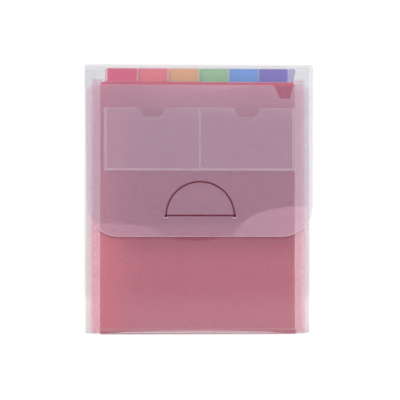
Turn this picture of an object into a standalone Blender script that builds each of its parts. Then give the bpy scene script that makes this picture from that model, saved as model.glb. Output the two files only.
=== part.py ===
# Expanding file folder with a fold-over flap, seven pockets and six tabbed dividers
# It stands upright on its base, faces -Y, and is as wide as X and as tall as Z

import math

import bmesh
import bpy
from mathutils import Vector

for old in list(bpy.data.objects):
    bpy.data.objects.remove(old, do_unlink=True)

MM = 0.001

# Film and sheet thicknesses
COVER_THICK = 0.8 * MM
DIVIDER_THICK = 0.4 * MM
FILM_THICK = 0.25 * MM
LABEL_THICK = 0.2 * MM

# The gap left between pieces that touch or fold on each other
GAP = 0.3 * MM

# Pockets, front to back
POCKETS = 7
POCKET_PITCH = 5.0 * MM
DIVIDERS = POCKETS - 1

# Whole folder
FOLDER_WIDTH = 262 * MM
FOLDER_HEIGHT = 310 * MM
LIP_HEIGHT = 2.6 * MM
FOLD_RADIUS = 1.5 * MM
BACK_CORNER = 3 * MM

# Flap, whose sides come in towards its lower edge, the left side more than the right
# Its two lower corners stand off the front cover
# Each bend is a line through (x, z) at an angle in degrees, and the sheet lifts below it
FLAP_BOTTOM = 112.4 * MM
FLAP_TAPER = (3.4 * MM, 0.6 * MM)
FLAP_CORNER = 35.5 * MM
RIGHT_LIFT = 2.2 * MM
LEFT_LIFT = 0.9 * MM
RIGHT_BEND = (37.5 * MM, 113.0 * MM, 25.4)
LEFT_BEND = (-41.6 * MM, 114.1 * MM, 170.1)
BEND_STEPS = 7

# Front cover and the finger notch in its top edge
FRONT_INSET = 9 * MM
FRONT_WIDTH = FOLDER_WIDTH - 2 * FRONT_INSET
FRONT_TOP = 286.5 * MM
FRONT_CORNER = 3 * MM
NOTCH_DEPTH = 15.7 * MM
NOTCH_TOP = (86 * MM, 109 * MM)
NOTCH_FOOT = (93 * MM, 105.6 * MM)

# Half-moon lock tabs, cut on an arc and creased along the chord
MOON_CENTRE = 1.4 * MM
MOON_RADIUS = 39.3 * MM
MOON_KERF = 1.2 * MM
MOON_CREASE = 1.1 * MM
MOON_CHORD = 136.0 * MM
RELIEF_RADIUS = 1.6 * MM

# Card pocket on the flap
CARD_WIDTH = 220 * MM
CARD_SHIFT = 0.7 * MM
CARD_BOTTOM = 187.3 * MM
CARD_TOP = 260.0 * MM
THUMB_CENTRE = 54.5 * MM
THUMB_WIDTH = 31 * MM
THUMB_DEPTH = 10.5 * MM
WELD_WIDTH = 1.6 * MM
WELD_RISE = 0.1 * MM
WELD_INSET = 1.4 * MM

# Dividers and their index tabs
DIVIDER_INSET = 9.5 * MM
DIVIDER_WIDTH = FRONT_WIDTH - 2 * DIVIDER_INSET
DIVIDER_SHIFT = -1.2 * MM
DIVIDER_TOP = 290.2 * MM
DIVIDER_CORNER = 4 * MM
DIVIDER_ARCH = 3.4 * MM
TAB_PITCH = 35.3 * MM
TAB_TOP = 305.9 * MM
TAB_RISE = 0.42 * MM
TAB_WIDTH_TOP = 38.5 * MM
TAB_WIDTH_FOOT = 40 * MM
LAST_TAB_EXTRA = 7.5 * MM
LABEL_WIDTH = 33.5 * MM
LABEL_HEIGHT = 15 * MM
LABEL_MARGIN = 0.3 * MM

# Side gussets, one pleat for each pocket
GUSSET_TOP = 294 * MM
GUSSET_PEAK = FOLDER_WIDTH / 2 - 2 * MM
FLANGE_WIDTH = 3.5 * MM
COVER_FLANGE = (FRONT_WIDTH / 2 - 6.15 * MM, FRONT_WIDTH / 2 - 0.75 * MM)
PEAK_RADIUS = 0.5 * MM

# Depths, measured from the folder's own middle so that it is centred on Y
DEPTH = POCKETS * POCKET_PITCH + 3 * COVER_THICK + GAP + RIGHT_LIFT
BACK_OUTER = DEPTH / 2
BACK_INNER = BACK_OUTER - COVER_THICK
FRONT_INNER = BACK_INNER - POCKETS * POCKET_PITCH
FRONT_OUTER = FRONT_INNER - COVER_THICK
FLAP_INNER = FRONT_OUTER - GAP
FLAP_OUTER = FLAP_INNER - COVER_THICK
CARD_INNER = FLAP_OUTER - GAP
CARD_OUTER = CARD_INNER - FILM_THICK

# Heights that follow from the ones above
SPINE_UNDER = FOLDER_HEIGHT - LIP_HEIGHT
SHEET_TOP = SPINE_UNDER - GAP
BASE_TOP = COVER_THICK
DIVIDER_FOOT = BASE_TOP + GAP
FRONT_FOOT = LIP_HEIGHT + GAP

# Hinge lines, as (y, z)
SPINE_AXIS = (BACK_OUTER + GAP / 2, SPINE_UNDER - GAP / 2)
FLAP_AXIS = (FLAP_OUTER - GAP / 2, SPINE_UNDER - GAP / 2)
FRONT_AXIS = ((FRONT_INNER + FRONT_OUTER) / 2, FRONT_FOOT - GAP / 2)
FLAP_MOON_AXIS = (FLAP_OUTER - GAP / 2, MOON_CHORD + MOON_CREASE / 2)
COVER_MOON_AXIS = (FRONT_INNER + GAP / 2, MOON_CHORD + MOON_CREASE / 2)

CLEAR_FROST = (0.86, 0.85, 0.87)
GUSSET_PINK = (0.90, 0.74, 0.78)
TINTS = (
    ("magenta_pink", (0.78, 0.13, 0.26)),
    ("coral", (0.84, 0.24, 0.24)),
    ("amber", (0.85, 0.46, 0.16)),
    ("green", (0.22, 0.55, 0.27)),
    ("blue", (0.13, 0.38, 0.80)),
    ("violet", (0.26, 0.20, 0.62)),
)


def divider_middle(number):
    # Divider 1 is the frontmost
    return FRONT_INNER + number * POCKET_PITCH


def plastic(name, colour, roughness, alpha):
    material = bpy.data.materials.new(name)
    material.use_nodes = True
    shader = material.node_tree.nodes["Principled BSDF"]
    shader.inputs["Base Color"].default_value = (*colour, 1)
    shader.inputs["Roughness"].default_value = roughness
    shader.inputs["Metallic"].default_value = 0
    shader.inputs["Alpha"].default_value = alpha
    material.diffuse_color = (*colour, alpha)
    return material


def arc(centre_x, centre_z, radius, start, end, steps):
    points = []
    for step in range(steps + 1):
        turn = math.radians(start + (end - start) * step / steps)
        points.append((centre_x + radius * math.cos(turn), centre_z + radius * math.sin(turn)))
    return points


def rounded(corners, steps=8):
    # Each corner is (x, z, radius), and each one with a radius becomes an arc
    points = []
    for index, (x, z, radius) in enumerate(corners):
        if not radius:
            points.append((x, z))
            continue
        here = Vector((x, z))
        before = (Vector(corners[index - 1][:2]) - here).normalized()
        after = (Vector(corners[(index + 1) % len(corners)][:2]) - here).normalized()
        half = before.angle(after) / 2
        centre = here + (before + after).normalized() * (radius / math.sin(half))
        first = here + before * (radius / math.tan(half)) - centre
        last = here + after * (radius / math.tan(half)) - centre
        start = math.atan2(first.y, first.x)
        sweep = math.atan2(last.y, last.x) - start
        sweep = (sweep + math.pi) % (2 * math.pi) - math.pi
        for step in range(steps + 1):
            turn = start + sweep * step / steps
            points.append((centre.x + radius * math.cos(turn), centre.y + radius * math.sin(turn)))
    return points


def prism(name, outline, low, high, direction, axis=(0, 0)):
    # An outline in XZ is carried along Y, one in YZ along X, and one in XY along Z
    place = {
        "y": lambda a, b, c: Vector((a, c, b)),
        "x": lambda a, b, c: Vector((c, a, b)),
        "z": lambda a, b, c: Vector((a, b, c)),
    }[direction]
    pivot = Vector((0, *axis))
    form = bmesh.new()
    near = [form.verts.new(place(a, b, low) - pivot) for a, b in outline]
    far = [form.verts.new(place(a, b, high) - pivot) for a, b in outline]
    form.faces.new(near)
    form.faces.new(far)
    for index in range(len(outline)):
        after = (index + 1) % len(outline)
        form.faces.new((near[index], near[after], far[after], far[index]))
    bmesh.ops.recalc_face_normals(form, faces=form.faces)
    mesh = bpy.data.meshes.new(name)
    form.to_mesh(mesh)
    form.free()
    made = bpy.data.objects.new(name, mesh)
    made.location = pivot
    bpy.context.collection.objects.link(made)
    return made


def shape_with(target, tool, operation):
    tool.hide_render = True
    tool.display_type = "WIRE"
    cut = target.modifiers.new(operation.lower() + " " + tool.name, "BOOLEAN")
    cut.operation = operation
    cut.solver = "EXACT"
    cut.object = tool


def soften(target, width=0.1 * MM):
    edge = target.modifiers.new("softened edges", "BEVEL")
    edge.width = width
    edge.segments = 1
    edge.limit_method = "ANGLE"
    edge.angle_limit = math.radians(60)
    edge.use_clamp_overlap = True


def finish(target, material):
    target.data.materials.append(material)
    return target


def moon_hole():
    # The cut's outer edge, widened into a round relief hole at each end of the chord
    radius = MOON_RADIUS + MOON_KERF / 2
    x = (radius**2 - RELIEF_RADIUS**2 + MOON_RADIUS**2) / (2 * MOON_RADIUS)
    z = math.sqrt(radius**2 - x**2)
    rise = math.degrees(math.atan2(z, x))
    lean = math.degrees(math.atan2(z, x - MOON_RADIUS))
    right = arc(MOON_RADIUS, MOON_CHORD, RELIEF_RADIUS, -180, lean, 14)
    over = arc(0, MOON_CHORD, radius, rise, 180 - rise, 56)
    left = [(-x, z) for x, z in reversed(right)]
    return [(x + MOON_CENTRE, z) for x, z in right + over[1:-1] + left]


def moon_tab():
    radius = MOON_RADIUS - MOON_KERF / 2
    foot = MOON_CHORD + MOON_CREASE
    x = (radius**2 - RELIEF_RADIUS**2 + MOON_RADIUS**2) / (2 * MOON_RADIUS)
    z = math.sqrt(radius**2 - x**2)
    rise = math.degrees(math.atan2(z, x))
    low = 180 - math.degrees(math.asin(MOON_CREASE / RELIEF_RADIUS))
    high = math.degrees(math.atan2(z, x - MOON_RADIUS))
    right = arc(MOON_RADIUS, MOON_CHORD, RELIEF_RADIUS, low, high, 6)
    over = arc(0, MOON_CHORD, radius, rise, 180 - rise, 56)
    left = [(-x, z) for x, z in reversed(right)]
    return [(x + MOON_CENTRE, max(z, foot)) for x, z in right + over[1:-1] + left]


def cut_moon(sheet, front, back):
    tool = prism("moon hole in " + sheet.name, moon_hole(), front - MM, back + MM, "y")
    shape_with(sheet, tool, "DIFFERENCE")


def lift_corner(sheet, bend, lift):
    # The sheet curves forwards beyond the bend line, more and more towards its farthest point
    x, z, angle = bend
    sign = 1 if math.cos(math.radians(angle)) > 0 else -1
    below = Vector((sign * math.sin(math.radians(angle)), 0, -abs(math.cos(math.radians(angle)))))
    start = Vector((x, 0, z)) - sheet.location
    form = bmesh.new()
    form.from_mesh(sheet.data)
    reach = max((vertex.co - start).dot(below) for vertex in form.verts)
    for step in range(BEND_STEPS):
        everything = form.verts[:] + form.edges[:] + form.faces[:]
        line = start + below * (reach * step / BEND_STEPS)
        bmesh.ops.bisect_plane(form, geom=everything, plane_co=line, plane_no=below)
    for vertex in form.verts:
        beyond = max(0, (vertex.co - start).dot(below))
        vertex.co.y -= lift * (beyond / reach) ** 2
    bmesh.ops.recalc_face_normals(form, faces=form.faces)
    form.to_mesh(sheet.data)
    form.free()


half_width = FOLDER_WIDTH / 2

# Back cover, the folder's fixed sheet
back_outline = rounded([
    (-half_width, 0, BACK_CORNER),
    (half_width, 0, BACK_CORNER),
    (half_width, SHEET_TOP, 0),
    (-half_width, SHEET_TOP, 0),
])
back_cover = prism("back_cover", back_outline, BACK_INNER, BACK_OUTER, "y")
soften(back_cover)
finish(back_cover, plastic("frosted back cover", CLEAR_FROST, 0.45, 0.4))

# Base strip, which turns up at the front into the crease of the front cover
middle_radius = FOLD_RADIUS - COVER_THICK
base_profile = (
    [(BACK_INNER - GAP, 0), (BACK_INNER - GAP, COVER_THICK)]
    + list(reversed(arc(FRONT_OUTER + FOLD_RADIUS, FOLD_RADIUS, middle_radius, 180, 270, 6)))
    + [(FRONT_INNER, LIP_HEIGHT), (FRONT_OUTER, LIP_HEIGHT)]
    + arc(FRONT_OUTER + FOLD_RADIUS, FOLD_RADIUS, FOLD_RADIUS, 180, 270, 6)
)
base_strip = prism("base_strip", base_profile, -FRONT_WIDTH / 2, FRONT_WIDTH / 2, "x")
finish(base_strip, plastic("frosted base", CLEAR_FROST, 0.45, 0.4))

# Front cover, with its finger notch and its own half-moon
front_half = FRONT_WIDTH / 2
front_outline = rounded([
    (-front_half, FRONT_FOOT, 0),
    (front_half, FRONT_FOOT, 0),
    (front_half, FRONT_TOP, FRONT_CORNER),
    (NOTCH_TOP[1], FRONT_TOP, 1.5 * MM),
    (NOTCH_FOOT[1], FRONT_TOP - NOTCH_DEPTH, 2.5 * MM),
    (NOTCH_FOOT[0], FRONT_TOP - NOTCH_DEPTH, 2.5 * MM),
    (NOTCH_TOP[0], FRONT_TOP, 4 * MM),
    (-front_half, FRONT_TOP, FRONT_CORNER),
])
front_cover = prism("front_cover", front_outline, FRONT_OUTER, FRONT_INNER, "y", FRONT_AXIS)
cut_moon(front_cover, FRONT_OUTER, FRONT_INNER)
soften(front_cover)
finish(front_cover, plastic("frosted front cover", CLEAR_FROST, 0.45, 0.4))

cover_lock_tab = prism("cover_lock_tab", moon_tab(), FRONT_OUTER, FRONT_INNER, "y", COVER_MOON_AXIS)
soften(cover_lock_tab)
finish(cover_lock_tab, plastic("frosted cover tab", CLEAR_FROST, 0.45, 0.4))

# Card pocket, a clear film with raised weld lines down its sides and middle and along its foot
# Its outlines are drawn about its own middle, which stands a little right of the folder's
card_half = CARD_WIDTH / 2
thumb_half = THUMB_WIDTH / 2
card_corners = [(-card_half, CARD_BOTTOM, 1.5 * MM), (card_half, CARD_BOTTOM, 1.5 * MM),
                (card_half, CARD_TOP, 1.5 * MM)]
for centre in (THUMB_CENTRE, -THUMB_CENTRE):
    card_corners += [
        (centre + thumb_half, CARD_TOP, 2.5 * MM),
        (centre + thumb_half - 5 * MM, CARD_TOP - THUMB_DEPTH, 6 * MM),
        (centre - thumb_half + 5 * MM, CARD_TOP - THUMB_DEPTH, 6 * MM),
        (centre - thumb_half, CARD_TOP, 2.5 * MM),
    ]
card_corners.append((-card_half, CARD_TOP, 1.5 * MM))
card_outline = [(x + CARD_SHIFT, z) for x, z in rounded(card_corners)]
card_pocket = prism("card_pocket", card_outline, CARD_OUTER, CARD_INNER, "y", FLAP_AXIS)
weld_outer = card_half - WELD_INSET
weld_inner = weld_outer - WELD_WIDTH
weld_foot = CARD_BOTTOM + WELD_INSET
weld_top = CARD_TOP - WELD_INSET
weld_floor = weld_foot + WELD_WIDTH
half_weld = WELD_WIDTH / 2
weld_outline = [
    (-weld_outer, weld_foot), (weld_outer, weld_foot), (weld_outer, weld_top), (weld_inner, weld_top),
    (weld_inner, weld_floor), (half_weld, weld_floor), (half_weld, weld_top), (-half_weld, weld_top),
    (-half_weld, weld_floor), (-weld_inner, weld_floor), (-weld_inner, weld_top), (-weld_outer, weld_top),
]
weld_outline = [(x + CARD_SHIFT, z) for x, z in weld_outline]
weld_lines = prism("weld lines", weld_outline, CARD_OUTER - WELD_RISE, CARD_OUTER + FILM_THICK / 2, "y")
shape_with(card_pocket, weld_lines, "UNION")
finish(card_pocket, plastic("clear card pocket", (0.88, 0.87, 0.89), 0.3, 0.25))

# Spine strip, which lies over the tabs and turns down into a crease at the front and at the back
spine_profile = (
    [(BACK_OUTER, SPINE_UNDER)]
    + arc(BACK_OUTER - FOLD_RADIUS, FOLDER_HEIGHT - FOLD_RADIUS, FOLD_RADIUS, 0, 90, 6)
    + arc(FLAP_OUTER + FOLD_RADIUS, FOLDER_HEIGHT - FOLD_RADIUS, FOLD_RADIUS, 90, 180, 6)
    + [(FLAP_OUTER, SPINE_UNDER), (FLAP_INNER, SPINE_UNDER)]
    + list(reversed(arc(FLAP_OUTER + FOLD_RADIUS, FOLDER_HEIGHT - FOLD_RADIUS, middle_radius, 90, 180, 6)))
    + list(reversed(arc(BACK_OUTER - FOLD_RADIUS, FOLDER_HEIGHT - FOLD_RADIUS, middle_radius, 0, 90, 6)))
    + [(BACK_INNER, SPINE_UNDER)]
)
spine_strip = prism("spine_strip", spine_profile, -half_width, half_width, "x", SPINE_AXIS)
finish(spine_strip, plastic("frosted spine", CLEAR_FROST, 0.45, 0.4))

# Flap, which hangs in front of the front cover
flap_outline = rounded([
    (-half_width + FLAP_TAPER[0], FLAP_BOTTOM, FLAP_CORNER),
    (half_width - FLAP_TAPER[1], FLAP_BOTTOM, FLAP_CORNER),
    (half_width, SHEET_TOP, 0),
    (-half_width, SHEET_TOP, 0),
], steps=18)
flap = prism("flap", flap_outline, FLAP_OUTER, FLAP_INNER, "y", FLAP_AXIS)
lift_corner(flap, RIGHT_BEND, RIGHT_LIFT)
lift_corner(flap, LEFT_BEND, LEFT_LIFT)
cut_moon(flap, FLAP_OUTER, FLAP_INNER)
soften(flap)
finish(flap, plastic("frosted flap", CLEAR_FROST, 0.45, 0.4))

flap_lock_tab = prism("flap_lock_tab", moon_tab(), FLAP_OUTER, FLAP_INNER, "y", FLAP_MOON_AXIS)
soften(flap_lock_tab)
finish(flap_lock_tab, plastic("frosted flap tab", CLEAR_FROST, 0.45, 0.4))

# Dividers, which stand a little left of the middle
# Each has its index tab a step to the right of the one in front and a little higher
# The last tab is wider, and its right side rises from the corner of the sheet
divider_half = DIVIDER_WIDTH / 2
divider_left = DIVIDER_SHIFT - divider_half
divider_right = DIVIDER_SHIFT + divider_half
tab_top_half = TAB_WIDTH_TOP / 2
tab_foot_half = TAB_WIDTH_FOOT / 2
arch_radius = (divider_half**2 + DIVIDER_ARCH**2) / (2 * DIVIDER_ARCH)
arch_turn = math.degrees(math.asin(divider_half / arch_radius))
arch_centre = DIVIDER_FOOT + DIVIDER_ARCH - arch_radius
arch = arc(DIVIDER_SHIFT, arch_centre, arch_radius, 90 + arch_turn, 90 - arch_turn, 24)
for number in range(1, DIVIDERS + 1):
    tint, colour = TINTS[number - 1]
    middle = divider_middle(number)
    front = middle - DIVIDER_THICK / 2
    back = middle + DIVIDER_THICK / 2
    axis = (middle, DIVIDER_FOOT)
    tab_x = (number - (DIVIDERS + 1) / 2) * TAB_PITCH
    tab_top = TAB_TOP + (number - 1) * TAB_RISE
    if number < DIVIDERS:
        extra = 0
        shoulder = [(divider_right, DIVIDER_TOP, DIVIDER_CORNER), (tab_x + tab_foot_half, DIVIDER_TOP, 1 * MM)]
    else:
        extra = LAST_TAB_EXTRA
        shoulder = [(divider_right, DIVIDER_TOP, 1 * MM)]
    outline = rounded(
        [(x, z, 0) for x, z in arch]
        + shoulder
        + [
            (tab_x + tab_top_half + extra, tab_top, 2.5 * MM),
            (tab_x - tab_top_half, tab_top, 2.5 * MM),
            (tab_x - tab_foot_half, DIVIDER_TOP, 1 * MM),
            (divider_left, DIVIDER_TOP, DIVIDER_CORNER),
        ],
        steps=6,
    )
    divider = prism("divider_%d" % number, outline, front, back, "y", axis)
    finish(divider, plastic(tint + " divider", colour, 0.35, 0.75))

    label_low = tab_top - LABEL_MARGIN - LABEL_HEIGHT
    label_outline = rounded([
        (tab_x - LABEL_WIDTH / 2, label_low, 1 * MM),
        (tab_x + LABEL_WIDTH / 2, label_low, 1 * MM),
        (tab_x + LABEL_WIDTH / 2, label_low + LABEL_HEIGHT, 1 * MM),
        (tab_x - LABEL_WIDTH / 2, label_low + LABEL_HEIGHT, 1 * MM),
    ], steps=4)
    label_front = front - GAP - LABEL_THICK
    label = prism("index_label_%d" % number, label_outline, label_front, front - GAP, "y", axis)
    finish(label, plastic(tint + " label", colour, 0.5, 1))


def pleat_outline(path):
    # The film's two faces, each half a thickness from the path, with the corners mitred
    sides = ([], [])
    for index, point in enumerate(path):
        here = Vector(point)
        legs = []
        if index:
            legs.append((here - Vector(path[index - 1])).normalized())
        if index < len(path) - 1:
            legs.append((Vector(path[index + 1]) - here).normalized())
        along = sum(legs, Vector((0, 0))).normalized()
        normal = Vector((-along.y, along.x))
        reach = FILM_THICK / 2 / normal.dot(Vector((-legs[0].y, legs[0].x)))
        sides[0].append(tuple(here + normal * reach))
        sides[1].append(tuple(here - normal * reach))
    return sides[0] + sides[1][::-1]


# Gusset pleats, welded by flanges to the sheets in front and behind, and pointing outwards
flange_gap = GAP + FILM_THICK / 2
for pocket in range(1, POCKETS + 1):
    near = FRONT_INNER if pocket == 1 else divider_middle(pocket - 1) + DIVIDER_THICK / 2
    far = BACK_INNER if pocket == POCKETS else divider_middle(pocket) - DIVIDER_THICK / 2
    near += flange_gap
    far -= flange_gap
    peak = GUSSET_PEAK - PEAK_RADIUS
    tip = arc(peak, (near + far) / 2, PEAK_RADIUS, -60, 60, 5)
    axis = FRONT_AXIS if pocket == 1 else (divider_middle(pocket - 1), DIVIDER_FOOT)
    for side, sign in (("right", 1), ("left", -1)):
        edge = divider_half + sign * DIVIDER_SHIFT
        turn = edge + 2 * FILM_THICK
        if pocket == 1:
            path = [(COVER_FLANGE[0], near), (COVER_FLANGE[1], near)]
            path.append((COVER_FLANGE[1] + 0.3 * MM, near + 0.3 * MM))
        else:
            path = [(edge - FLANGE_WIDTH, near), (turn, near)] + (tip if pocket < POCKETS else [])
        if pocket == POCKETS:
            path.append((COVER_FLANGE[1] + 0.3 * MM, far - 0.3 * MM))
            path += [(COVER_FLANGE[1], far), (COVER_FLANGE[0], far)]
        else:
            path += [(turn, far), (edge - FLANGE_WIDTH, far)]
        outline = pleat_outline([(sign * x, y) for x, y in path])
        pleat = prism("gusset_%s_%d" % (side, pocket), outline, DIVIDER_FOOT + GAP, GUSSET_TOP, "z", axis)
        finish(pleat, plastic("gusset film %s %d" % (side, pocket), GUSSET_PINK, 0.4, 0.3))
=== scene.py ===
# Expanding file folder: materials, gusset film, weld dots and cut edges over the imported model
import math
import random

import bmesh
import bpy
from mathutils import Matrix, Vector


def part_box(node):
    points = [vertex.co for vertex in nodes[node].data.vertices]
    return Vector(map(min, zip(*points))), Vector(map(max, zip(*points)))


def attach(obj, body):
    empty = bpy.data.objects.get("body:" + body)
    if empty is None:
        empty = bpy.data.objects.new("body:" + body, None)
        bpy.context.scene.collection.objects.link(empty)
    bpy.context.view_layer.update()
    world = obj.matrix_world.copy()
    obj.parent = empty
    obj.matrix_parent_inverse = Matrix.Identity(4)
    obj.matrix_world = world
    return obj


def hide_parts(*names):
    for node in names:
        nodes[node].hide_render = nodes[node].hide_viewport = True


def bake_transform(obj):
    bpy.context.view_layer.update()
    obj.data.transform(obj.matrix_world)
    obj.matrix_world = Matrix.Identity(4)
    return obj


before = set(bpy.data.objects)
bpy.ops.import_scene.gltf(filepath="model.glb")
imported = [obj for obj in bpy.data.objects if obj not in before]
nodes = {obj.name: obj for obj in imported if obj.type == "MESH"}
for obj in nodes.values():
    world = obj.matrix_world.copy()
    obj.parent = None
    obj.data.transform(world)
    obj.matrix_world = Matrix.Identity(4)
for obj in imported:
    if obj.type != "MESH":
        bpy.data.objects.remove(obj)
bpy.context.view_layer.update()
print("frame loaded,", len(nodes), "nodes")


# Node helpers; an input may be a socket or a plain value
def addNode(tree, kind, **values):
    node = tree.nodes.new(kind)
    for name, value in values.items():
        setattr(node, name, value)
    return node


def wire(tree, source, target):
    tree.links.new(source, target)


def mathNode(tree, operation, *inputs, clamp=False):
    node = addNode(tree, "ShaderNodeMath", operation=operation, use_clamp=clamp)
    for socket, value in zip(node.inputs, inputs):
        if isinstance(value, (int, float)):
            socket.default_value = value
        else:
            wire(tree, value, socket)
    return node.outputs[0]


def subtract(tree, first, second):
    return mathNode(tree, "SUBTRACT", first, second)


def multiply(tree, *values):
    product = values[0]
    for value in values[1:]:
        product = mathNode(tree, "MULTIPLY", product, value)
    return product


def absolute(tree, value):
    return mathNode(tree, "ABSOLUTE", value)


def larger(tree, first, second, clamp=False):
    return mathNode(tree, "MAXIMUM", first, second, clamp=clamp)


def mapRange(tree, value, low, high, newLow, newHigh, smooth=False):
    node = addNode(tree, "ShaderNodeMapRange", interpolation_type="SMOOTHSTEP" if smooth else "LINEAR")
    wire(tree, value, node.inputs["Value"])
    for name, number in (("From Min", low), ("From Max", high), ("To Min", newLow), ("To Max", newHigh)):
        node.inputs[name].default_value = number
    return node.outputs["Result"]


def ramp(tree, value, low, high):
    # 0 at low and 1 at high, whichever is the larger
    return mapRange(tree, value, low, high, 0, 1, smooth=True)


def mixColour(tree, factor, first, second):
    node = addNode(tree, "ShaderNodeMix", data_type="RGBA")
    wire(tree, factor, node.inputs["Factor"])
    for socket, value in ((node.inputs["A"], first), (node.inputs["B"], second)):
        if isinstance(value, tuple):
            socket.default_value = (*value, 1)
        else:
            wire(tree, value, socket)
    return node.outputs["Result"]


def noise(tree, vector, scale, detail):
    node = addNode(tree, "ShaderNodeTexNoise")
    node.inputs["Scale"].default_value = scale
    node.inputs["Detail"].default_value = detail
    wire(tree, vector, node.inputs["Vector"])
    return node


def stretched(tree, vector, scale, turn=(0, 0, 0)):
    node = addNode(tree, "ShaderNodeMapping")
    node.inputs["Scale"].default_value = scale
    node.inputs["Rotation"].default_value = turn
    wire(tree, vector, node.inputs["Vector"])
    return node.outputs["Vector"]


def objectPlace(tree):
    return addNode(tree, "ShaderNodeTexCoord").outputs["Object"]


def objectAxes(tree):
    split = addNode(tree, "ShaderNodeSeparateXYZ")
    wire(tree, objectPlace(tree), split.inputs[0])
    return split.outputs


# Camera and studio
view = {
    "place": (-0.1402, -2.4377, 0.0924),
    "turn": -0.0583,            # radians about Z, the left side a little nearer
    "tilt": 0.0255,             # radians up
    "lens": 190.2,
    "sensor": 36,
    "clip": (0.05, 50),
}
studio = {
    "surround": 0.62,           # light from all round
    "floorHalf": 8,
    "floorGrey": 0.8,           # as the object sees it
    "shadowGrey": 0.45,         # as the camera sees it, over the glow
    "floorGlow": 0.72,
    "aim": (0, 0, 0.16),
}
lamps = {                       # place, size and power
    "key light": ((-1.1, -2.0, 1.5), (1.6, 1.2), 26),
    "fill light": ((1.6, -1.7, 0.9), (1.4, 1.4), 14),
    "back light": ((0.2, 1.8, 1.2), (1.6, 1.2), 10),
}


def addObject(name, data):
    made = bpy.data.objects.new(name, data)
    bpy.context.scene.collection.objects.link(made)
    return made


def makeCamera():
    data = bpy.data.cameras.new("camera")
    camera = addObject("camera", data)
    camera.location = view["place"]
    camera.rotation_euler = (math.pi / 2 + view["tilt"], 0, view["turn"])
    data.lens = view["lens"]
    data.sensor_width = view["sensor"]
    data.clip_start, data.clip_end = view["clip"]
    bpy.context.scene.camera = camera


def makeLamp(name, place, size, power):
    data = bpy.data.lights.new(name, "AREA")
    data.shape = "RECTANGLE"
    data.size, data.size_y = size
    data.energy = power
    lamp = addObject(name, data)
    lamp.location = place
    lamp.rotation_euler = (Vector(studio["aim"]) - Vector(place)).to_track_quat("-Z", "Y").to_euler()


def mixByRay(tree, lit, seen, output):
    # seen is for the rays that should meet the plain white studio, lit for all others
    path = addNode(tree, "ShaderNodeLightPath")
    plain = larger(tree, larger(tree, path.outputs["Is Camera Ray"], path.outputs["Is Glossy Ray"]),
                   path.outputs["Is Transmission Ray"])
    mix = addNode(tree, "ShaderNodeMixShader")
    for source, socket in zip((plain, lit.outputs[0], seen.outputs[0]), mix.inputs):
        wire(tree, source, socket)
    wire(tree, mix.outputs[0], addNode(tree, output).inputs["Surface"])


def makeWorld():
    world = bpy.data.worlds.new("studio")
    bpy.context.scene.world = world
    world.use_nodes = True
    tree = world.node_tree
    tree.nodes.clear()
    soft, white = addNode(tree, "ShaderNodeBackground"), addNode(tree, "ShaderNodeBackground")
    for node, strength in ((soft, studio["surround"]), (white, 1)):
        node.inputs["Color"].default_value = (1, 1, 1, 1)
        node.inputs["Strength"].default_value = strength
    mixByRay(tree, soft, white, "ShaderNodeOutputWorld")


def makeFloor():
    mesh = bpy.data.meshes.new("floor")
    half = studio["floorHalf"]
    corners = [(-half, -half, 0), (half, -half, 0), (half, half, 0), (-half, half, 0)]
    mesh.from_pydata(corners, [], [(0, 1, 2, 3)])
    floor = addObject("floor", mesh)
    material = bpy.data.materials.new("pale floor")
    material.use_nodes = True
    tree = material.node_tree
    tree.nodes.clear()
    matt, thin = addNode(tree, "ShaderNodeBsdfDiffuse"), addNode(tree, "ShaderNodeBsdfDiffuse")
    for node, grey in ((matt, studio["floorGrey"]), (thin, studio["shadowGrey"])):
        node.inputs["Color"].default_value = (grey, grey, grey, 1)
    glow = addNode(tree, "ShaderNodeEmission")
    glow.inputs["Strength"].default_value = studio["floorGlow"]
    both = addNode(tree, "ShaderNodeAddShader")
    wire(tree, thin.outputs[0], both.inputs[0])
    wire(tree, glow.outputs[0], both.inputs[1])
    mixByRay(tree, matt, both, "ShaderNodeOutputMaterial")
    mesh.materials.append(material)


scene = bpy.context.scene
scene.view_settings.view_transform = "Standard"
scene.cycles.transparent_max_bounces = 96   # the folder is up to forty film faces deep
makeCamera()
makeWorld()
makeFloor()
for name, (place, size, power) in lamps.items():
    makeLamp(name, place, size, power)
print("studio ready")


# Polypropylene, which every sheet and film is made of
plastic = {
    "grainScale": 1400.0,
    "grainDetail": 2,
    "grainDepth": 0.00002,
    "grainStrength": 0.35,
    "rollScale": 420,           # the faint streaks of the rolls
    "rollStretch": (1, 1, 0.12),
    "rollDetail": 1,
    "rollShare": 0.25,
    "broadScale": 9,
    "broadDetail": 3,
    "noiseSpan": (0.3, 0.7),    # where most of a noise lies
    "roughSwing": 0.06,         # with the fine grain
    "roughDrift": 0.03,         # over the whole sheet
    "toneSwing": 0.04,
    "ior": 1.49,
    "specular": 0.35,
}


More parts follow.
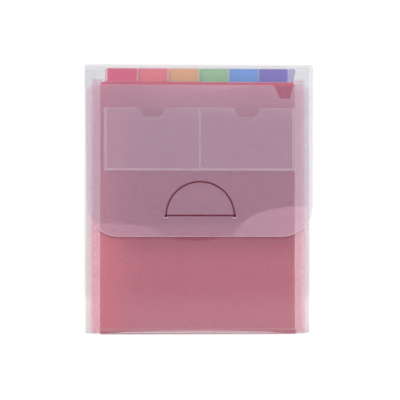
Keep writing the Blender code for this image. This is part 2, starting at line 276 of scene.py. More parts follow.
def makeGrainGroup():
    # The fine matt grain of the extruded sheet, with the faint streaks of the rolls
    group = bpy.data.node_groups.new("polypropylene grain", "ShaderNodeTree")
    for name, start in (("Grain Size", plastic["grainScale"]), ("Depth", plastic["grainDepth"])):
        group.interface.new_socket(name, in_out="INPUT", socket_type="NodeSocketFloat").default_value = start
    for name, kind in (("Normal", "NodeSocketVector"), ("Fine", "NodeSocketFloat"), ("Broad", "NodeSocketFloat")):
        group.interface.new_socket(name, in_out="OUTPUT", socket_type=kind)
    given = addNode(group, "NodeGroupInput")
    result = addNode(group, "NodeGroupOutput")
    place = objectPlace(group)
    fine = noise(group, place, plastic["grainScale"], plastic["grainDetail"])
    wire(group, given.outputs["Grain Size"], fine.inputs["Scale"])
    rolled = stretched(group, place, plastic["rollStretch"])
    roll = noise(group, rolled, plastic["rollScale"], plastic["rollDetail"])
    broad = noise(group, place, plastic["broadScale"], plastic["broadDetail"])
    height = mathNode(group, "MULTIPLY_ADD", roll.outputs["Fac"], plastic["rollShare"], fine.outputs["Fac"])
    bump = addNode(group, "ShaderNodeBump")
    bump.inputs["Strength"].default_value = plastic["grainStrength"]
    wire(group, given.outputs["Depth"], bump.inputs["Distance"])
    wire(group, height, bump.inputs["Height"])
    wire(group, bump.outputs["Normal"], result.inputs["Normal"])
    wire(group, fine.outputs["Fac"], result.inputs["Fine"])
    wire(group, broad.outputs["Fac"], result.inputs["Broad"])
    return group


grainGroup = makeGrainGroup()


def startMaterial(name, colour, haze, roughness, grainScale=plastic["grainScale"]):
    # A Principled material with grain, and with a roughness and a tone that vary; haze is its alpha
    material = bpy.data.materials.new(name)
    material.use_nodes = True
    tree = material.node_tree
    shader = tree.nodes["Principled BSDF"]
    grain = addNode(tree, "ShaderNodeGroup", node_tree=grainGroup)
    grain.inputs["Grain Size"].default_value = grainScale
    grain.inputs["Depth"].default_value = plastic["grainDepth"]
    wire(tree, grain.outputs["Normal"], shader.inputs["Normal"])
    swing, drift, wander = plastic["roughSwing"], plastic["roughDrift"], plastic["toneSwing"]
    rough = mapRange(tree, grain.outputs["Fine"], *plastic["noiseSpan"], roughness - swing, roughness + swing)
    slow = mapRange(tree, grain.outputs["Broad"], *plastic["noiseSpan"], -drift, drift)
    wire(tree, mathNode(tree, "ADD", rough, slow), shader.inputs["Roughness"])
    pale = tuple(min(1, channel * (1 + wander)) for channel in colour)
    deep = tuple(channel * (1 - wander) for channel in colour)
    tone = mixColour(tree, grain.outputs["Fine"], deep, pale)
    wire(tree, tone, shader.inputs["Base Color"])
    shader.inputs["IOR"].default_value = plastic["ior"]
    shader.inputs["Specular IOR Level"].default_value = plastic["specular"]
    shader.inputs["Alpha"].default_value = haze
    return {"material": material, "tree": tree, "shader": shader, "tone": tone, "alpha": haze}


def tintBy(look, mask, colour):
    # Where the mask is 1 the sheet has this colour instead
    look["tone"] = mixColour(look["tree"], mask, look["tone"], colour)
    wire(look["tree"], look["tone"], look["shader"].inputs["Base Color"])


def hazeBy(look, mask, amount):
    # Where the mask is 1 the sheet has this much more haze
    look["alpha"] = mathNode(look["tree"], "MULTIPLY_ADD", mask, amount, look["alpha"], clamp=True)
    wire(look["tree"], look["alpha"], look["shader"].inputs["Alpha"])


def dress(nodeName, look):
    nodes[nodeName].material_slots[0].material = look["material"]


# Frosted covers. A haze is that of one face, and each sheet has two
frost = {
    "roughness": 0.42,
    "flapColour": (0.40, 0.37, 0.50),
    "flapHaze": 0.17,
    "frontColour": (0.64, 0.50, 0.595),
    "frontHaze": 0.163,
    "backColour": (0.40, 0.46, 0.43),
    "backHaze": 0.13,
    "spineColour": (0.62, 0.53, 0.56),
    "spineHaze": 0.12,
    "baseColour": (0.58, 0.265, 0.315),
    "baseHaze": 0.35,
}


def makeFrost(name, part):
    return startMaterial(name, frost[part + "Colour"], frost[part + "Haze"], frost["roughness"])


# The flap. A span is where a mask starts and where it is full, in metres on the axis that its note names
flap = {
    "corner": 0.0355,
    "taper": (0.0034, 0.0006),  # how far its left and right sides come in at the foot
    "lowColour": (0.52, 0.43, 0.58),
    "lowSpan": (0.133, 0.119),  # z
    # painted light: the corners that stand off are drawn lighter and hazier, for the light the air gap behind them
    # reflects
    "liftColour": (0.70, 0.52, 0.66),
    "liftHaze": 0.06,
    "liftSoft": 0.0016,
    # Where a lower corner stands off the front cover: its edge's start in x and z, its reach and height, and
    # how much of the lighter look it has
    "rightPatch": (0.0375, 0.1130, 0.022, 0.036, 1.0),
    "leftPatch": (-0.0416, 0.1140, 0.015, 0.0144, 0.7),
}
flapLow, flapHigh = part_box("flap")
flapLeft, flapRight = flapLow.x + flap["taper"][0], flapHigh.x - flap["taper"][1]


def liftMask(tree):
    axes = objectAxes(tree)
    masks = []
    for side in ("right", "left"):
        x, z, reach, height, share = flap[side + "Patch"]
        along = subtract(tree, axes[0], x) if side == "right" else subtract(tree, x, axes[0])
        fall = mathNode(tree, "EXPONENT", multiply(tree, along, -1 / reach))
        edge = mathNode(tree, "MULTIPLY_ADD", subtract(tree, 1.0, fall), height, z)
        masks.append(multiply(tree, ramp(tree, subtract(tree, edge, axes[2]), 0.0, flap["liftSoft"]), share))
    return larger(tree, *masks)


def dressFlap():
    look = makeFrost("frosted flap sheet", "flap")
    tree = look["tree"]
    lifted = liftMask(tree)
    tintBy(look, ramp(tree, objectAxes(tree)[2], *flap["lowSpan"]), flap["lowColour"])
    # painted light where the lower corners stand off
    tintBy(look, lifted, flap["liftColour"])
    hazeBy(look, lifted, flap["liftHaze"])
    dress("flap", look)


# Painted shadow of the flap's lower edge on the front cover: a soft line along the edge and a crescent under its
# middle
edgeShadow = {
    "colour": (0.26, 0.05, 0.09),
    "haze": 0.12,
    "band": 0.0045,             # the height of the soft line
    "lineShare": 0.66,
    "middle": -0.0052,          # the crescent
    "halfWidth": 0.048,
    "depth": 0.0078,
    "soft": 0.0058,
    "crescentShare": 0.68,
    "edge": 0.0004,
}


def edgeShadowMask(tree):
    # The painted shadow below the flap's lower edge, which follows its rounded corners
    axes = objectAxes(tree)
    corner = flap["corner"]
    pastLeft = larger(tree, subtract(tree, flapLeft + corner, axes[0]), 0.0)
    pastRight = larger(tree, subtract(tree, axes[0], flapRight - corner), 0.0)
    past = larger(tree, pastLeft, pastRight)
    chord = mathNode(tree, "MULTIPLY_ADD", multiply(tree, past, past), -1.0, corner ** 2)
    rise = subtract(tree, corner, mathNode(tree, "SQRT", larger(tree, chord, 0.0)))
    below = mathNode(tree, "ADD", subtract(tree, flapLow.z, axes[2]), rise)
    under = ramp(tree, below, -edgeShadow["edge"], edgeShadow["edge"])
    line = multiply(tree, under, mapRange(tree, below, 0, edgeShadow["band"], 1, 0), edgeShadow["lineShare"])
    across = multiply(tree, subtract(tree, axes[0], edgeShadow["middle"]), 1 / edgeShadow["halfWidth"])
    depth = multiply(tree, subtract(tree, 1.0, multiply(tree, across, across)), edgeShadow["depth"])
    crescent = multiply(tree, under, ramp(tree, subtract(tree, depth, below), 0.0, edgeShadow["soft"]),
                        edgeShadow["crescentShare"])
    return larger(tree, line, crescent, clamp=True)


# The front cover
front = {
    # lighter towards the foot: painted light, as bounced up from the floor
    "lowColour": (0.78, 0.64, 0.74),
    "lowSpan": (0.06, 0.02),                # z
    "behindShadeColour": (0.60, 0.44, 0.53),     # painted shade of the flap, on the cover behind it
    "behindSpan": (0.1118, 0.1128),         # z
    "underColour": (0.44, 0.41, 0.49),      # in the flap's own shadow, below its edge
    "underSpan": (0.080, 0.108),            # z
    "sideColour": (0.92, 0.52, 0.60),
    "sideHaze": 0.02,
    "leftSpan": (0.06, 0.116),              # -x
    "sideSpan": (0.108, 0.113),             # x to either side
    "edgeHaze": -0.12,                      # the cover's own sides show only softly
    "edgeSpan": (0.1175, 0.1219),           # x to either side
    "topColour": (1.0, 0.60, 0.70),
    "topHaze": 0.14,                        # more near the top, where light gets between the sheets
    "topSpan": (0.238, 0.284),              # z
    "topEnds": (0.1145, 0.1085),            # x to either side
    "topLeft": (-0.115, -0.03, 0.45, 1.0),  # x from and to, and the mask there
    "topRight": (0.03, 0.07, 1.0, 0.78),
    "streakHaze": 0.045,
    "streakTurn": -4,                       # degrees
    "streakStretch": (5, 5, 38),
    "streakScale": 1.6,
    "streakDetail": 0,
    "streakSpan": (0.35, 0.65),
    # darker and redder along the foot: the base strip's colour behind it, with painted shade
    "footColour": (0.58, 0.29, 0.345),
    "footHaze": 0.34,
    "footSpan": (0.0085, 0.0045),           # z
    "footEnds": (0.1135, 0.1115),           # x to either side
}


def streakMask(tree):
    # Long soft streaks, a little slanted, as a slack sheet has
    turned = stretched(tree, objectPlace(tree), front["streakStretch"], (0, math.radians(front["streakTurn"]), 0))
    wave = noise(tree, turned, front["streakScale"], front["streakDetail"])
    return mapRange(tree, wave.outputs["Fac"], *front["streakSpan"], -1, 1)


def dressFront():
    look = makeFrost("frosted front sheet", "front")
    tree = look["tree"]
    x, y, z = objectAxes(tree)
    offMiddle = absolute(tree, x)
    # painted light towards the foot, as from the floor
    tintBy(look, ramp(tree, z, *front["lowSpan"]), front["lowColour"])
    # painted shade where the flap covers the cover
    tintBy(look, ramp(tree, z, *front["behindSpan"]), front["behindShadeColour"])
    shadow = multiply(tree, ramp(tree, z, *front["underSpan"]), ramp(tree, z, *reversed(front["behindSpan"])))
    tintBy(look, shadow, front["underColour"])
    aside = larger(tree, ramp(tree, multiply(tree, x, -1.0), *front["leftSpan"]),
                   ramp(tree, offMiddle, *front["sideSpan"]))
    tintBy(look, aside, front["sideColour"])
    hazeBy(look, aside, front["sideHaze"])
    hazeBy(look, ramp(tree, offMiddle, *front["edgeSpan"]), front["edgeHaze"])
    upper = multiply(tree, ramp(tree, z, *front["topSpan"]), ramp(tree, offMiddle, *front["topEnds"]),
                     mapRange(tree, x, *front["topLeft"], smooth=True),
                     mapRange(tree, x, *front["topRight"], smooth=True))
    tintBy(look, upper, front["topColour"])
    hazeBy(look, upper, front["topHaze"])
    hazeBy(look, multiply(tree, upper, streakMask(tree)), front["streakHaze"])
    # the foot band: the base strip's colour behind, with painted shade
    footBand = multiply(tree, ramp(tree, z, *front["footSpan"]), ramp(tree, offMiddle, *front["footEnds"]))
    tintBy(look, footBand, front["footColour"])
    hazeBy(look, footBand, front["footHaze"])
    # painted shadow of the flap's lower edge
    edgeShadowed = edgeShadowMask(tree)
    tintBy(look, edgeShadowed, edgeShadow["colour"])
    hazeBy(look, edgeShadowed, edgeShadow["haze"])
    dress("front_cover", look)


# The back cover and the base, which differ past the pockets
outer = {
    "backLeftHaze": 0.05,
    "backLeftSpan": (-0.112, -0.121),       # x
    "baseEndColour": (0.92, 0.66, 0.74),
    "baseEndHaze": -0.22,
    "baseEndSpan": (0.1115, 0.1135),        # x to either side
}


def dressBackAndBase():
    look = makeFrost("frosted back sheet", "back")
    tree = look["tree"]
    hazeBy(look, ramp(tree, objectAxes(tree)[0], *outer["backLeftSpan"]), outer["backLeftHaze"])
    dress("back_cover", look)
    look = makeFrost("frosted base sheet", "base")
    tree = look["tree"]
    beyond = ramp(tree, absolute(tree, objectAxes(tree)[0]), *outer["baseEndSpan"])
    tintBy(look, beyond, outer["baseEndColour"])
    hazeBy(look, beyond, outer["baseEndHaze"])
    dress("base_strip", look)


dressFlap()
dressFront()
dressBackAndBase()
dress("flap_lock_tab", makeFrost("frosted tab sheet", "flap"))
dress("cover_lock_tab", makeFrost("frosted cover tab sheet", "front"))
dress("spine_strip", makeFrost("frosted spine sheet", "spine"))


# Card pocket, a clear film whose weld lines are milkier
card = {
    "colour": (0.78, 0.67, 0.80),
    "haze": 0.078,
    "roughness": 0.3,
    "weldColour": (0.84, 0.78, 0.86),
    "weldHaze": 0.09,
    "middle": 0.0007,
    "half": 0.1078,             # to the middle of the side welds
    "foot": 0.1895,
    "weldHalf": 0.0008,
    "weldSoft": 0.0003,
}


def dressCard():
    look = startMaterial("card pocket film", card["colour"], card["haze"], card["roughness"])
    tree = look["tree"]
    x, y, z = objectAxes(tree)
    across = absolute(tree, subtract(tree, x, card["middle"]))
    offSide = absolute(tree, subtract(tree, across, card["half"]))
    offFoot = absolute(tree, subtract(tree, z, card["foot"]))
    nearest = mathNode(tree, "MINIMUM", mathNode(tree, "MINIMUM", across, offSide), offFoot)
    welded = subtract(tree, 1.0, ramp(tree, nearest, card["weldHalf"], card["weldHalf"] + card["weldSoft"]))
    tintBy(look, welded, card["weldColour"])
    hazeBy(look, welded, card["weldHaze"])
    dress("card_pocket", look)


dressCard()


# Dividers and labels, from the front to the back: slot, sheet's colour and label's colour
tints = (
    ("magenta_pink", (0.62, 0.02, 0.085), (0.88, 0.05, 0.135)),
    ("coral", (0.80, 0.11, 0.12), (1.0, 0.175, 0.17)),
    ("amber", (0.80, 0.36, 0.10), (0.96, 0.485, 0.14)),
    ("green", (0.25, 0.50, 0.20), (0.33, 0.70, 0.32)),
    ("blue", (0.13, 0.32, 0.75), (0.115, 0.405, 1.0)),
    ("violet", (0.22, 0.19, 0.52), (0.19, 0.14, 0.66)),
)
divider = {
    "haze": 0.56,
    "roughness": 0.36,
    "tabFoot": 0.2915,
    "tabSoft": 0.0006,
    "tabWhite": 0.2,            # the tabs are paler and clearer than the rest of the sheet
    "tabHaze": -0.25,
    "lastTabWhite": 0.15,
    "lastTabHaze": -0.13,
    "tabBrightest": 0.95,
    "topSpan": (0.2862, 0.2870),            # z, above which the first divider is clear of the front cover
    "topColour": (0.88, 0.028, 0.095),
    "labelHaze": 0.9,
    "labelRoughness": 0.45,
    "labelGrain": 2200.0,
}


def dressDivider(number, sheetTint, labelTint):
    look = startMaterial("divider tint %d" % number, sheetTint, divider["haze"], divider["roughness"])
    tree = look["tree"]
    z = objectAxes(tree)[2]
    if number == 1:
        tintBy(look, ramp(tree, z, *divider["topSpan"]), divider["topColour"])
    onTab = ramp(tree, z, divider["tabFoot"] - divider["tabSoft"], divider["tabFoot"] + divider["tabSoft"])
    which = "lastTab" if number == len(tints) else "tab"
    white = divider[which + "White"]
    reach = divider["tabBrightest"] - white
    tintBy(look, onTab, tuple(reach * channel + white for channel in labelTint))
    hazeBy(look, onTab, divider[which + "Haze"])
    dress("divider_%d" % number, look)
    look = startMaterial("index label %d" % number, labelTint, divider["labelHaze"], divider["labelRoughness"],
                         divider["labelGrain"])
    dress("index_label_%d" % number, look)


for number, (_, sheetTint, labelTint) in enumerate(tints, 1):
    dressDivider(number, sheetTint, labelTint)
print("sheets dressed")


# Gusset film
gusset = {
    "pockets": 7,
    "thickness": 0.00025,
    "flange": 0.0035,
    "flangeFoot": 0.1159,       # where the outer flange ends on each cover
    "flangeEnd": 0.119,
    "legSteps": 7,
    "rows": 36,
    "turnRoom": 0.0005,         # between the flange and the leg
    "outerFold": (0.0005, 0.0003),          # of the first and last pleats, in x and y
    "innerFold": (0.0004, 0.00015),
    "ripple": 0.00035,
    "rippleWaves": (95, 231),
    "rippleShare": 0.6,         # of the second wave
    "rippleLean": 0.5,
    "firstShare": 0.868,        # of the front cover's fan, at the first divider; its hinge is the higher one
    "firstRoom": 0.0004,        # between the first pleat and that divider's bead
    "blendHeight": 0.15,
    "colour": (0.80, 0.22, 0.38),
    "roughness": 0.34,
    "haze": 0.045,
    "rightColour": (0.76, 0.27, 0.41),
    "rightSpan": (0, 0.1),      # x
    "outerHaze": -0.027,        # towards the folds
    "outerSpan": (0.119, 0.1265),           # x to either side
    "topHaze": -0.026,          # and at the open top
    "topSpan": (0.278, 0.293),  # z
}


def makeFilmLook():
    look = startMaterial("gusset film", gusset["colour"], gusset["haze"], gusset["roughness"])
    tree = look["tree"]
    x, y, z = objectAxes(tree)
    tintBy(look, ramp(tree, x, *gusset["rightSpan"]), gusset["rightColour"])
    hazeBy(look, ramp(tree, absolute(tree, x), *gusset["outerSpan"]), gusset["outerHaze"])
    hazeBy(look, ramp(tree, z, *gusset["topSpan"]), gusset["topHaze"])
    return look


filmLook = makeFilmLook()


def spread(start, end, steps):
    # Points between two ends, without the ends
    return [(start[0] + (end[0] - start[0]) * step / steps, start[1] + (end[1] - start[1]) * step / steps)
            for step in range(1, steps)]


def pleatPath(side, pocket):
    # The film's middle line, from the sheet in front, out to the fold and back to the sheet behind
    low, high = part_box("gusset_%s_%d" % (side, pocket))
    half = gusset["thickness"] / 2
    inner, outside = (low.x, high.x) if side == "right" else (-high.x, -low.x)
    frontY, backY = low.y + half, high.y - half - (gusset["firstRoom"] if pocket == 1 else 0)
    turn = inner + gusset["flange"] + gusset["turnRoom"]
    peak = outside - half

    def leg(start, end):
        return spread(start, end, gusset["legSteps"]) + [end]

    if pocket in (1, gusset["pockets"]):
        run, rise = gusset["outerFold"]
        y, away = (frontY, rise) if pocket == 1 else (backY, -rise)
        fold = (peak, y + away)
        flat = [(gusset["flangeFoot"], y), (gusset["flangeEnd"], y), (peak - run, y)]
        if pocket == 1:
            path = flat + [fold] + leg(fold, (turn, backY)) + [(inner, backY)]
        else:
            path = [(inner, frontY), (turn, frontY)] + leg((turn, frontY), fold) + flat[::-1]
    else:
        run, rise = gusset["innerFold"]
        middle = (frontY + backY) / 2
        near, far = (peak - run, middle - rise), (peak - run, middle + rise)
        path = [(inner, frontY), (turn, frontY)] + leg((turn, frontY), near) + [(peak, middle), far]
        path += leg(far, (turn, backY)) + [(inner, backY)]
    return [((x if side == "right" else -x), y) for x, y in path], low.z, high.z, frontY, backY


def makePleat(side, pocket):
    path, foot, top, frontY, backY = pleatPath(side, pocket)
    chance = random.Random(pocket * 2 + (side == "left"))
    shifts = [chance.uniform(0, 2 * math.pi) for _ in range(2)]
    lean = gusset["rippleLean"] * (-1 if side == "right" else 1)
    form = bmesh.new()
    grid = []
    for row in range(gusset["rows"] + 1):
        z = foot + (top - foot) * row / gusset["rows"]
        first, second = (math.sin(z * wave + shift) for wave, shift in zip(gusset["rippleWaves"], shifts))
        ripple = gusset["ripple"] * (first + gusset["rippleShare"] * second)
        line = []
        for index, (x, y) in enumerate(path):
            reach = math.sin(math.pi * index / (len(path) - 1)) ** 2
            line.append(form.verts.new((x + lean * ripple * reach, y, z)))
        grid.append(line)
    for lower, upper in zip(grid, grid[1:]):
        for a, b, c, d in zip(lower, lower[1:], upper[1:], upper):
            form.faces.new((a, b, c, d))
    bmesh.ops.recalc_face_normals(form, faces=form.faces)
    mesh = bpy.data.meshes.new("gusset pleat")
    form.to_mesh(mesh)
    form.free()
    for face in mesh.polygons:
        face.use_smooth = True
    piece = addObject("pleat_%s_%d" % (side, pocket), mesh)
    mesh.materials.append(filmLook["material"])
    wall = piece.modifiers.new("film thickness", "SOLIDIFY")
    wall.thickness = gusset["thickness"]
    wall.offset = 0
    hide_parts("gusset_%s_%d" % (side, pocket))
    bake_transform(piece)


for side in ("left", "right"):
    for pocket in range(1, gusset["pockets"] + 1):
        makePleat(side, pocket)
print("gussets made")


# Trees that make what repeats or follows an edge
def startTree(name, sockets):
    tree = bpy.data.node_groups.new(name, "GeometryNodeTree")
    tree.interface.new_socket("Geometry", in_out="INPUT", socket_type="NodeSocketGeometry")
    for label, kind, start in sockets:
        tree.interface.new_socket(label, in_out="INPUT", socket_type=kind).default_value = start
    tree.interface.new_socket("Material", in_out="INPUT", socket_type="NodeSocketMaterial")
    tree.interface.new_socket("Geometry", in_out="OUTPUT", socket_type="NodeSocketGeometry")
    return tree, addNode(tree, "NodeGroupInput"), addNode(tree, "NodeGroupOutput")


def endTree(tree, given, result, geometry):
    real = addNode(tree, "GeometryNodeRealizeInstances")
    smooth = addNode(tree, "GeometryNodeSetShadeSmooth")
    paint = addNode(tree, "GeometryNodeSetMaterial")
    wire(tree, geometry, real.inputs[0])
    wire(tree, real.outputs[0], smooth.inputs["Geometry"])
    wire(tree, smooth.outputs[0], paint.inputs["Geometry"])
    wire(tree, given.outputs["Material"], paint.inputs["Material"])
    wire(tree, paint.outputs[0], result.inputs[0])
    return tree


def makeDotTree():
    # A column of low round welds above each point
    tree, given, result = startTree("weld dots", (
        ("Count", "NodeSocketInt", 28), ("Pitch", "NodeSocketFloat", 0.01),
        ("Radius", "NodeSocketFloat", 0.0016), ("Rise", "NodeSocketFloat", 0.00014),
        ("Segments", "NodeSocketInt", 14), ("Rings", "NodeSocketInt", 6)))
    offset = addNode(tree, "ShaderNodeCombineXYZ")
    wire(tree, given.outputs["Pitch"], offset.inputs["Z"])
    column = addNode(tree, "GeometryNodeMeshLine")
    wire(tree, given.outputs["Count"], column.inputs["Count"])
    wire(tree, offset.outputs[0], column.inputs["Offset"])
    columns = addNode(tree, "GeometryNodeInstanceOnPoints")
    wire(tree, given.outputs["Geometry"], columns.inputs["Points"])
    wire(tree, column.outputs[0], columns.inputs["Instance"])
    points = addNode(tree, "GeometryNodeRealizeInstances")
    wire(tree, columns.outputs[0], points.inputs[0])
    ball = addNode(tree, "GeometryNodeMeshUVSphere")
    wire(tree, given.outputs["Segments"], ball.inputs["Segments"])
    wire(tree, given.outputs["Rings"], ball.inputs["Rings"])
    size = addNode(tree, "ShaderNodeCombineXYZ")
    for name, axis in (("Radius", "X"), ("Rise", "Y"), ("Radius", "Z")):
        wire(tree, given.outputs[name], size.inputs[axis])
    dots = addNode(tree, "GeometryNodeInstanceOnPoints")
    wire(tree, points.outputs[0], dots.inputs["Points"])
    wire(tree, ball.outputs[0], dots.inputs["Instance"])
    wire(tree, size.outputs[0], dots.inputs["Scale"])
    return endTree(tree, given, result, dots.outputs[0])


def makeBeadTree():
    # A round bead along a path, like the rim that a die leaves on a cut sheet; it also carries painted shade and
    # painted highlights along cut edges
    tree, given, result = startTree("cut edge bead", (
        ("Radius", "NodeSocketFloat", 0.0003), ("Sides", "NodeSocketInt", 8)))
    path = addNode(tree, "GeometryNodeMeshToCurve")
    wire(tree, given.outputs["Geometry"], path.inputs[0])
    ring = addNode(tree, "GeometryNodeCurvePrimitiveCircle")
    wire(tree, given.outputs["Sides"], ring.inputs["Resolution"])
    wire(tree, given.outputs["Radius"], ring.inputs["Radius"])
    tube = addNode(tree, "GeometryNodeCurveToMesh")
    wire(tree, path.outputs[0], tube.inputs["Curve"])
    wire(tree, ring.outputs[0], tube.inputs["Profile Curve"])
    tube.inputs["Fill Caps"].default_value = True
    return endTree(tree, given, result, tube.outputs[0])


def growPiece(name, tree, points, edges, body, slotName, look, **sizes):
    mesh = bpy.data.meshes.new(name)
    mesh.from_pydata(points, edges, [])
    seed = addObject(name + " path", mesh)
    grow = seed.modifiers.new("grow", "NODES")
    grow.node_group = tree
    sizes["Material"] = look["material"]
    for item in tree.interface.items_tree:
        if item.in_out == "INPUT" and item.name in sizes:
            grow[item.identifier] = sizes[item.name]
    bpy.context.view_layer.update()
    grown = seed.evaluated_get(bpy.context.evaluated_depsgraph_get())
    made = bpy.data.meshes.new_from_object(grown)
    seed.modifiers.remove(grow)
    bpy.data.objects.remove(seed)
    piece = addObject(name, made)
    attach(piece, body)


dotTree = makeDotTree()
beadTree = makeBeadTree()


# Weld dots down both gusset flanges, on the front cover and on the back cover
welds = {
    "across": 0.1193,
    "foot": 0.012,
    "pitch": 0.01,
    "count": 28,
    "radius": 0.0016,
    "rise": 0.00014,
    "colour": (1.0, 0.90, 0.94),
    "haze": 0.25,
    "roughness": 0.3,
}
weldLook = startMaterial("weld dot", welds["colour"], welds["haze"], welds["roughness"])


def makeWeldDots(name, y, body):
    feet = [(side * welds["across"], y, welds["foot"]) for side in (-1, 1)]
    growPiece(name, dotTree, feet, [], body, "gusset_film", weldLook,
              Count=welds["count"], Pitch=welds["pitch"], Radius=welds["radius"], Rise=welds["rise"])


makeWeldDots("weld_dots_front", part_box("front_cover")[0].y, "front")
makeWeldDots("weld_dots_back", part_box("back_cover")[1].y, "back")
print("weld dots made")


# Paths in XZ for the cut edges
def turnAround(x, z, radius, start, end, steps):
    angles = [math.radians(start + (end - start) * step / steps) for step in range(steps + 1)]
    return [(x + radius * math.cos(angle), z + radius * math.sin(angle)) for angle in angles]


def roundedPath(corners, steps=6):
    # Each corner is (x, z, radius); the first and last are plain ends
    points = [corners[0][:2]]
    for before, here, after in zip(corners, corners[1:], corners[2:]):
        spot, radius = Vector(here[:2]), here[2]
        back = (Vector(before[:2]) - spot).normalized()
        ahead = (Vector(after[:2]) - spot).normalized()
        half = back.angle(ahead) / 2
        centre = spot + (back + ahead).normalized() * (radius / math.sin(half))
        first = spot + back * (radius / math.tan(half)) - centre
        last = spot + ahead * (radius / math.tan(half)) - centre
        start = math.atan2(first.y, first.x)
        sweep = (math.atan2(last.y, last.x) - start + math.pi) % (2 * math.pi) - math.pi
        for step in range(steps + 1):
            turn = start + sweep * step / steps
            points.append((centre.x + radius * math.cos(turn), centre.y + radius * math.sin(turn)))
    return points + [corners[-1][:2]]


# Cut edges: the pale rims are the die's whitened burr with a painted highlight, the dark beads painted shade and
# the bright beads painted glints
rims = {
    "flapRadius": 0.00042,
    "sheetRadius": 0.0003,
    "filmRadius": 0.00016,
    "dividerRadius": 0.000224,
    "colour": (1.0, 0.79, 0.86),
    "haze": 0.30,
    "dividerColour": (0.90, 0.72, 0.78),
    "dividerHaze": 0.12,
    "roughness": 0.28,
    "shadeRadius": 0.00034,
    "shadeColour": (0.10, 0.006, 0.02),
    "shadeHaze": 0.8,
    "shadeRoughness": 0.5,
    "glintRadius": 0.0004,
    "glintColour": (1.0, 0.93, 0.95),
    "glintHaze": 0.6,
    "glintRoughness": 0.2,
}
# The pale rim look is partly the whitened burr and partly a painted highlight
rimLook = startMaterial("cut sheet edge", rims["colour"], rims["haze"], rims["roughness"])
dividerRimLook = startMaterial("cut divider edge", rims["dividerColour"], rims["dividerHaze"], rims["roughness"])
shadeLook = startMaterial("shaded cut edge", rims["shadeColour"], rims["shadeHaze"], rims["shadeRoughness"])
glintLook = startMaterial("bright cut edge", rims["glintColour"], rims["glintHaze"], rims["glintRoughness"])


def growBead(name, path, y, body, slotName, radius, look=rimLook):
    # path is in XZ, or XYZ where y is None
    points = path if y is None else [(x, y, z) for x, z in path]
    edges = [(index, index + 1) for index in range(len(points) - 1)]
    growPiece(name, beadTree, points, edges, body, slotName, look, Radius=radius)


def middleOf(nodeName):
    low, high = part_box(nodeName)
    return low, high, (low.y + high.y) / 2


# The flap's rim, which rises with the corners that stand off
flapRim = {
    "cornerSteps": 18,
    "sideSteps": 12,
    "footSteps": 60,
    "halfSheet": 0.0004,
    "rightLift": (0.0375, 0.1130, 25.4, 0.0022),      # x, z, angle and height, as in the solid
    "leftLift": (-0.0416, 0.1141, 170.1, 0.0009),
}


def flapPath():
    low, high, corner = flapLow, flapHigh, flap["corner"]
    ends = [(high.x, high.z, 0), (flapRight, low.z, corner), (flapLeft, low.z, corner), (low.x, high.z, 0)]
    rounded = roundedPath(ends, flapRim["cornerSteps"])
    turned = flapRim["cornerSteps"] + 1
    right, left = rounded[1:1 + turned], rounded[1 + turned:-1]
    outline = [rounded[0]] + spread(rounded[0], right[0], flapRim["sideSteps"]) + right
    outline += spread(right[-1], left[0], flapRim["footSteps"]) + left
    outline += spread(left[-1], rounded[-1], flapRim["sideSteps"]) + [rounded[-1]]
    lift = [0] * len(outline)
    for x, z, angle, height in (flapRim["rightLift"], flapRim["leftLift"]):
        sign = 1 if x > 0 else -1
        lean = math.radians(angle)
        beyond = [max(0, (px - x) * sign * math.sin(lean) - (pz - z) * abs(math.cos(lean))) for px, pz in outline]
        lift = [old + height * (share / max(beyond)) ** 2 for old, share in zip(lift, beyond)]
    middle = high.y - flapRim["halfSheet"]
    return [(x, middle - up, z) for (x, z), up in zip(outline, lift)]


# a pale rim along the flap's edge: whitened burr with a painted highlight
growBead("flap_rim", flapPath(), None, "flap", "frosted_sheet", rims["flapRadius"])


# The front cover's top edge with its finger notch; a corner's last number is its radius
notch = {
    "depth": 0.0157,
    "left": (0.086, 0.093),     # its side's top and foot in x
    "right": (0.109, 0.1056),
    "footCorner": 0.0025,
    "leftCorner": 0.004,
    "rightCorner": 0.0015,
    "coverCorner": 0.003,
    "below": 0.004,             # where the rim ends on the cover's sides
}


def coverPath(low, high):
    top, foot, end = high.z, high.z - notch["depth"], high.z - notch["below"]
    (leftTop, leftFoot), (rightTop, rightFoot) = notch["left"], notch["right"]
    return roundedPath([
        (low.x, end, 0), (low.x, top, notch["coverCorner"]), (leftTop, top, notch["leftCorner"]),
        (leftFoot, foot, notch["footCorner"]), (rightFoot, foot, notch["footCorner"]),
        (rightTop, top, notch["rightCorner"]), (high.x, top, notch["coverCorner"]), (high.x, end, 0)])


low, high, middleY = middleOf("front_cover")
growBead("cover_rim", coverPath(low, high), middleY, "front", "frosted_sheet", rims["sheetRadius"])


# The card pocket's edge with its two thumb notches
thumb = {
    "across": 0.0545,
    "topHalf": 0.0155,
    "footHalf": 0.0105,
    "depth": 0.0105,
    "topCorner": 0.0025,
    "footCorner": 0.006,
    "filmCorner": 0.0015,
    "above": 0.003,             # where the rim starts over the pocket's foot
    "behind": 0.000125,         # from the pocket's back to the film's middle
}


def cardPath(low, high):
    top, foot, start = high.z, high.z - thumb["depth"], low.z + thumb["above"]
    points = [(low.x, start, 0), (low.x, top, thumb["filmCorner"])]
    for centre in (card["middle"] - thumb["across"], card["middle"] + thumb["across"]):
        points += [(centre - thumb["topHalf"], top, thumb["topCorner"]),
                   (centre - thumb["footHalf"], foot, thumb["footCorner"]),
                   (centre + thumb["footHalf"], foot, thumb["footCorner"]),
                   (centre + thumb["topHalf"], top, thumb["topCorner"])]
    return roundedPath(points + [(high.x, top, thumb["filmCorner"]), (high.x, start, 0)])


low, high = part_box("card_pocket")
growBead("card_rim", cardPath(low, high), high.y - thumb["behind"], "flap", "clear_film", rims["filmRadius"])


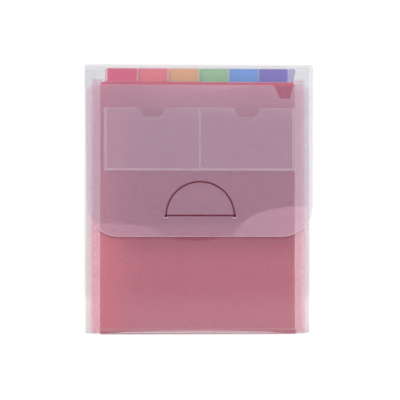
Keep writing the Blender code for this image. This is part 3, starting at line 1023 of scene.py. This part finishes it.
# The dividers' edges with their tabs, pale with a painted highlight, and painted glints down the sides of the
# first one
tabs = {
    "pitch": 0.0353,
    "topHalf": 0.01925,
    "footHalf": 0.02,
    "foot": 0.2902,
    "lastExtra": 0.0075,        # the last tab reaches further right
    "sheetRight": 0.1113,
    "corner": 0.004,
    "topCorner": 0.0025,
    "footCorner": 0.001,
    "start": 0.002,             # over the sheet's lowest point
    "cornerSteps": 4,
}


def dividerPath(number, low, high):
    middle = (number - (len(tints) + 1) / 2) * tabs["pitch"]
    foot, right, start = tabs["foot"], tabs["sheetRight"], low.z + tabs["start"]
    points = [(low.x, start, 0), (low.x, foot, tabs["corner"]),
              (middle - tabs["footHalf"], foot, tabs["footCorner"]),
              (middle - tabs["topHalf"], high.z, tabs["topCorner"])]
    if number == len(tints):
        points += [(middle + tabs["topHalf"] + tabs["lastExtra"], high.z, tabs["topCorner"]),
                   (right, foot, tabs["footCorner"])]
    else:
        points += [(middle + tabs["topHalf"], high.z, tabs["topCorner"]),
                   (middle + tabs["footHalf"], foot, tabs["footCorner"]), (right, foot, tabs["corner"])]
    return roundedPath(points + [(right, start, 0)], tabs["cornerSteps"])


for number, (slotName, *_) in enumerate(tints, 1):
    low, high, middleY = middleOf("divider_%d" % number)
    growBead("divider_rim_%d" % number, dividerPath(number, low, high), middleY, "leaf_%d" % number,
             slotName + "_divider", rims["dividerRadius"], dividerRimLook)

low, high, middleY = middleOf("divider_1")
for side, x in (("left", low.x), ("right", tabs["sheetRight"])):
    length = [(x, low.z + tabs["start"]), (x, tabs["foot"] - tabs["corner"])]
    growBead("divider_glint_" + side, length, middleY, "leaf_1", tints[0][0] + "_divider",
             rims["glintRadius"], glintLook)


# The half-moon's cut edges, which look dark where light is lost in the slot
moon = {
    "middle": 0.0014,
    "radius": 0.0393,
    "kerf": 0.0012,
    "crease": 0.0011,
    "chord": 0.1360,
    "steps": 56,
    "slotArc": (178, 2),        # degrees
    "tabArc": (177, 3),
    "creaseInset": 0.001,
    "ringArc": (90, 450),       # the dark ring in each relief hole
    "ringSteps": 16,
    "ringRadius": 0.0012,
    "ringBead": 0.0007,
    "glintArc": (-20, -160),    # the light on the hole's lower rim
    "glintSteps": 10,
    "glintRadius": 0.0021,
    "glintDrop": 0.0004,
    "glintForward": 0.0001,
}


def makeMoonEdges():
    low, high, middleY = middleOf("flap_lock_tab")
    middle, chord, radius = moon["middle"], moon["chord"], moon["radius"]
    around, within = radius + moon["kerf"] / 2, radius - moon["kerf"] / 2
    slot = turnAround(middle, chord, around, *moon["slotArc"], moon["steps"])
    end, lift = within - moon["creaseInset"], chord + moon["crease"]
    shades = (
        ("slot", "flap", [(middle - around, chord)] + slot + [(middle + around, chord)]),
        ("chord", "flap", [(middle - radius, chord), (middle + radius, chord)]),
        ("tab", "flap_tab", turnAround(middle, chord, within, *moon["tabArc"], moon["steps"])),
        ("crease", "flap_tab", [(middle - end, lift), (middle + end, lift)]),
    )
    for name, body, path in shades:
        growBead("flap_moon_%s_shade" % name, path, middleY, body, "frosted_sheet", rims["shadeRadius"], shadeLook)
    for side, spot in (("left", middle - radius), ("right", middle + radius)):
        ring = turnAround(spot, chord, moon["ringRadius"], *moon["ringArc"], moon["ringSteps"])
        growBead("flap_moon_relief_shade_" + side, ring, middleY, "flap", "frosted_sheet",
                 moon["ringBead"], shadeLook)
        glint = turnAround(spot, chord - moon["glintDrop"], moon["glintRadius"], *moon["glintArc"],
                           moon["glintSteps"])
        growBead("flap_moon_relief_glint_" + side, glint, low.y - moon["glintForward"], "flap", "frosted_sheet",
                 rims["sheetRadius"], glintLook)


makeMoonEdges()
print("cut edges made")
